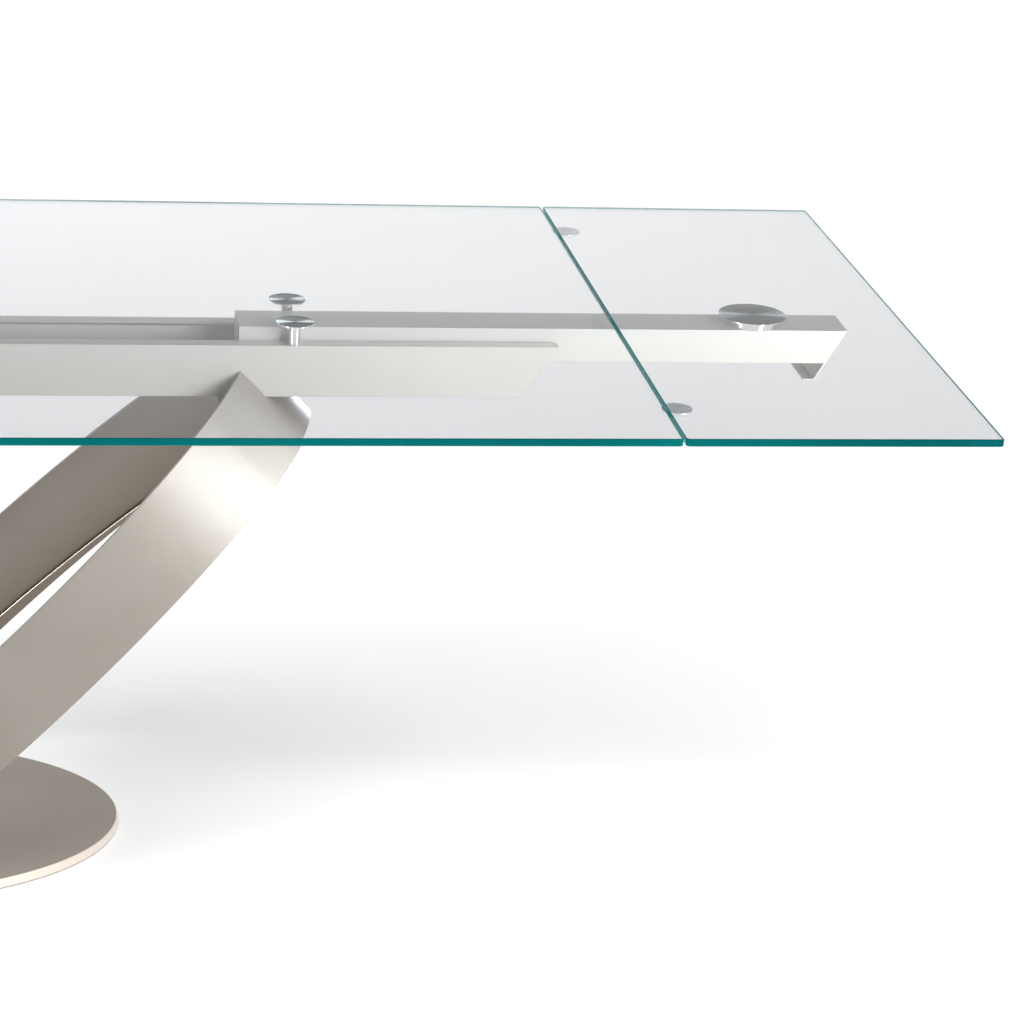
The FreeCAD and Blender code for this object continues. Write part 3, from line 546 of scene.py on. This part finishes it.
def studio():
    """A pale floor in a room with a bright ceiling, right side and far wall.

    The camera sees plain white behind the table, and rays in the glass see a brighter room.
    """
    bpy.ops.mesh.primitive_plane_add(size=60, location=(0, 0, 0))
    floor = bpy.context.object
    floor.name = "studio_floor"
    g = Graph(bpy.data.materials.new("studio_floor_look"))
    cloud = g.noise(g.add("ShaderNodeTexCoord").outputs["Object"], 3.0, 3.0)
    low, high = FLOOR_SHADE - 0.01, FLOOR_SHADE + 0.01
    shade = g.two_tone(g.spread(cloud, 0.0, 1.0), (low, low, low), (high, high, high))
    shader = g.add("ShaderNodeBsdfPrincipled", {"Base Color": shade, "Roughness": 0.6, "IOR": 1.2,
                                                "Emission Color": (1, 1, 1, 1), "Emission Strength": 0.16})
    floor.data.materials.append(g.finish(shader.outputs["BSDF"]))
    scene.world = bpy.data.worlds.new("studio_world")
    w = Graph(scene.world)
    direction = w.add("ShaderNodeTexCoord").outputs["Generated"]
    split = w.add("ShaderNodeSeparateXYZ", {"Vector": direction})
    east, north, up = split.outputs["X"], split.outputs["Y"], split.outputs["Z"]
    ceiling = w.ramp(up, 0.50, 0.80, 0.0, CEILING)
    wall = w.ramp(up, 0.265, 0.365, WALL_LOW, WALL_HIGH)
    wall = w.math("MULTIPLY", w.ramp(north, 0.2, 0.7, 0.0, 1.0), wall)
    wall = w.math("MULTIPLY", wall, w.ramp(east, 0.0, 0.4, 1.0, 0.55))
    side = w.ramp(east, 0.40, 0.80, 0.0, SIDE)
    room = w.math("ADD", w.math("ADD", ceiling, wall), w.math("ADD", side, DIM_ROOM))
    path = w.add("ShaderNodeLightPath").outputs
    elsewhere = w.ramp(up, 0.30, 0.60, GLASS_ROOM, 0.3)
    elsewhere = w.math("MULTIPLY", w.ramp(north, 0.0, 0.5, 1.0, 0.0), elsewhere)
    in_glass = w.math("MULTIPLY", path["Is Singular Ray"], elsewhere)
    room = w.math("ADD", room, in_glass)
    light = w.add("ShaderNodeBackground", {"Color": (1, 1, 1, 1), "Strength": room})
    shown = w.add("ShaderNodeBackground", {"Color": (1, 1, 1, 1), "Strength": 1.0})
    seen = path["Is Camera Ray"]
    both = w.add("ShaderNodeMixShader", {"Fac": seen, 1: light.outputs[0], 2: shown.outputs[0]})
    w.add("ShaderNodeOutputWorld", {"Surface": both.outputs[0]})


NEUTRAL, COOL = (0.94, 0.97, 1.0), (0.80, 0.90, 1.0)
# Name, place, what it points at, size, power, receivers and colour. Metres and watts.
SOFTBOXES = (
    ("right_softbox", (2.1, -1.8, 1.35), (0.7, 0.0, 0.6), (1.4, 1.1), 43, "lit_table", NEUTRAL),
    ("bar_softbox", (1.95, -1.6, 1.1), (0.9, 0.0, 0.68), (1.4, 1.0), 114, "lit_bars", NEUTRAL),
    ("side_panel", (3.3, -0.35, 1.85), (0.5, 0.0, 0.5), (2.6, 1.6), 190, "lit_ring", COOL),
    ("back_panel", (2.3, 2.9, 1.0), (0.55, 0.0, 0.5), (3.0, 2.0), 190, "lit_ring", COOL),
    ("edge_lamp", (-2.6, -0.4, 2.3), (0.3, 0.0, 0.3), (1.6, 1.6), 700, "lit_edges", NEUTRAL),
    ("rim_lamp", (1.6, -2.4, 0.30), (0.1, 0.0, 0.01), (1.2, 0.4), 45, "lit_plate", NEUTRAL),
    ("disc_lamp", (0.86, 3.8, 1.93), (0.9, 0.0, 0.74), (0.7, 0.4), 16, "lit_discs", NEUTRAL),
    ("left_strip", (-0.75, -1.15, 0.25), (0.58, 0.0, 0.70), (0.12, 0.6), 9, "lit_discs", NEUTRAL),
    ("right_strip", (1.75, -1.25, 0.25), (0.65, 0.0, 0.70), (0.12, 0.6), 9, "lit_discs", NEUTRAL),
)


def softbox(name, place, target, size, energy, receivers, colour):
    """A rectangular lamp that the camera doesn't see, and that lights only its receivers."""
    data = bpy.data.lights.new(name, "AREA")
    data.shape = "RECTANGLE"
    data.size, data.size_y = size
    data.energy = energy
    data.color = colour
    lamp = bpy.data.objects.new(name, data)
    lamp.location = place
    lamp.rotation_euler = (Vector(target) - Vector(place)).to_track_quat("-Z", "Y").to_euler()
    lamp.visible_camera = False
    scene.collection.objects.link(lamp)
    lamp.light_linking.receiver_collection = receivers


def sun(name, heading, height, angle, strength, receivers):
    """A wide, even light from a compass heading and a height in degrees."""
    data = bpy.data.lights.new(name, "SUN")
    data.angle = math.radians(angle)
    data.energy = strength
    lamp = bpy.data.objects.new(name, data)
    turn, rise = math.radians(heading), math.radians(height)
    towards = Vector((math.cos(rise) * math.cos(turn), math.cos(rise) * math.sin(turn), math.sin(rise)))
    lamp.rotation_euler = (-towards).to_track_quat("-Z", "Y").to_euler()
    scene.collection.objects.link(lamp)
    lamp.light_linking.receiver_collection = receivers


def lights():
    """A soft sun for the floor and base plate, and softboxes that each light one kind of piece.

    No lamp lights the glass. The spun discs are lit only by the lamps for discs.
    """
    names = ("lit_table", "lit_floor", "lit_bars", "lit_discs", "lit_ring", "lit_plate", "lit_edges")
    lit = {name: bpy.data.collections.new(name) for name in names}
    for piece in scene.objects:
        if piece.type == "MESH" and not piece.name.endswith("glass"):
            group = "lit_floor" if piece.name == "studio_floor" else "lit_table"
            lit[group].objects.link(piece)
    for part in frame["record"]["subparts"]:
        piece, slot = nodes[part["node"]], part["material_slot"]
        if slot == "pale_paint":
            lit["lit_bars"].objects.link(piece)
        if slot == "spun_aluminium":
            lit["lit_table"].objects.unlink(piece)
        if slot in ("spun_aluminium", "polished_steel", "satin_aluminium"):
            lit["lit_discs"].objects.link(piece)
        if "ring" in part["node"]:
            lit["lit_ring"].objects.link(piece)
    for piece in scene.objects:
        if piece.name.startswith("turned_stem") or piece.name.endswith("dished_tongues"):
            lit["lit_discs"].objects.link(piece)
        if piece.name.endswith("stiffener_edge"):
            lit["lit_edges"].objects.link(piece)
    for group in ("lit_floor", "lit_plate"):
        lit[group].objects.link(nodes["base_plate"])
    sun("floor_sun", heading=-100, height=60, angle=38, strength=2.6, receivers=lit["lit_floor"])
    for name, place, target, size, energy, group, colour in SOFTBOXES:
        softbox(name, place, target, size, energy, lit[group], colour)


CAMERA_PLACE = Vector((0.0714, -4.2475, 2.1109))
CAMERA_YAW, CAMERA_PITCH, CAMERA_ROLL = 10.929, 20.928, 3.830
CAMERA_LENS, SENSOR = 119.49, 36.0


def camera():
    """A long lens from the front, turned and tilted down to the right-hand end of the table."""
    data = bpy.data.cameras.new("camera")
    data.lens = CAMERA_LENS
    data.sensor_width = SENSOR
    data.clip_end = 200
    view = bpy.data.objects.new("camera", data)
    turn = Matrix.Rotation(math.radians(-CAMERA_YAW), 4, "Z")
    tilt = Matrix.Rotation(math.radians(90 - CAMERA_PITCH), 4, "X")
    roll = Matrix.Rotation(math.radians(CAMERA_ROLL), 4, "Z")
    view.matrix_world = Matrix.Translation(CAMERA_PLACE) @ turn @ tilt @ roll
    scene.collection.objects.link(view)
    scene.camera = view


scene.view_settings.view_transform = "Standard"
dress_nodes()
details()
studio()
lights()
camera()
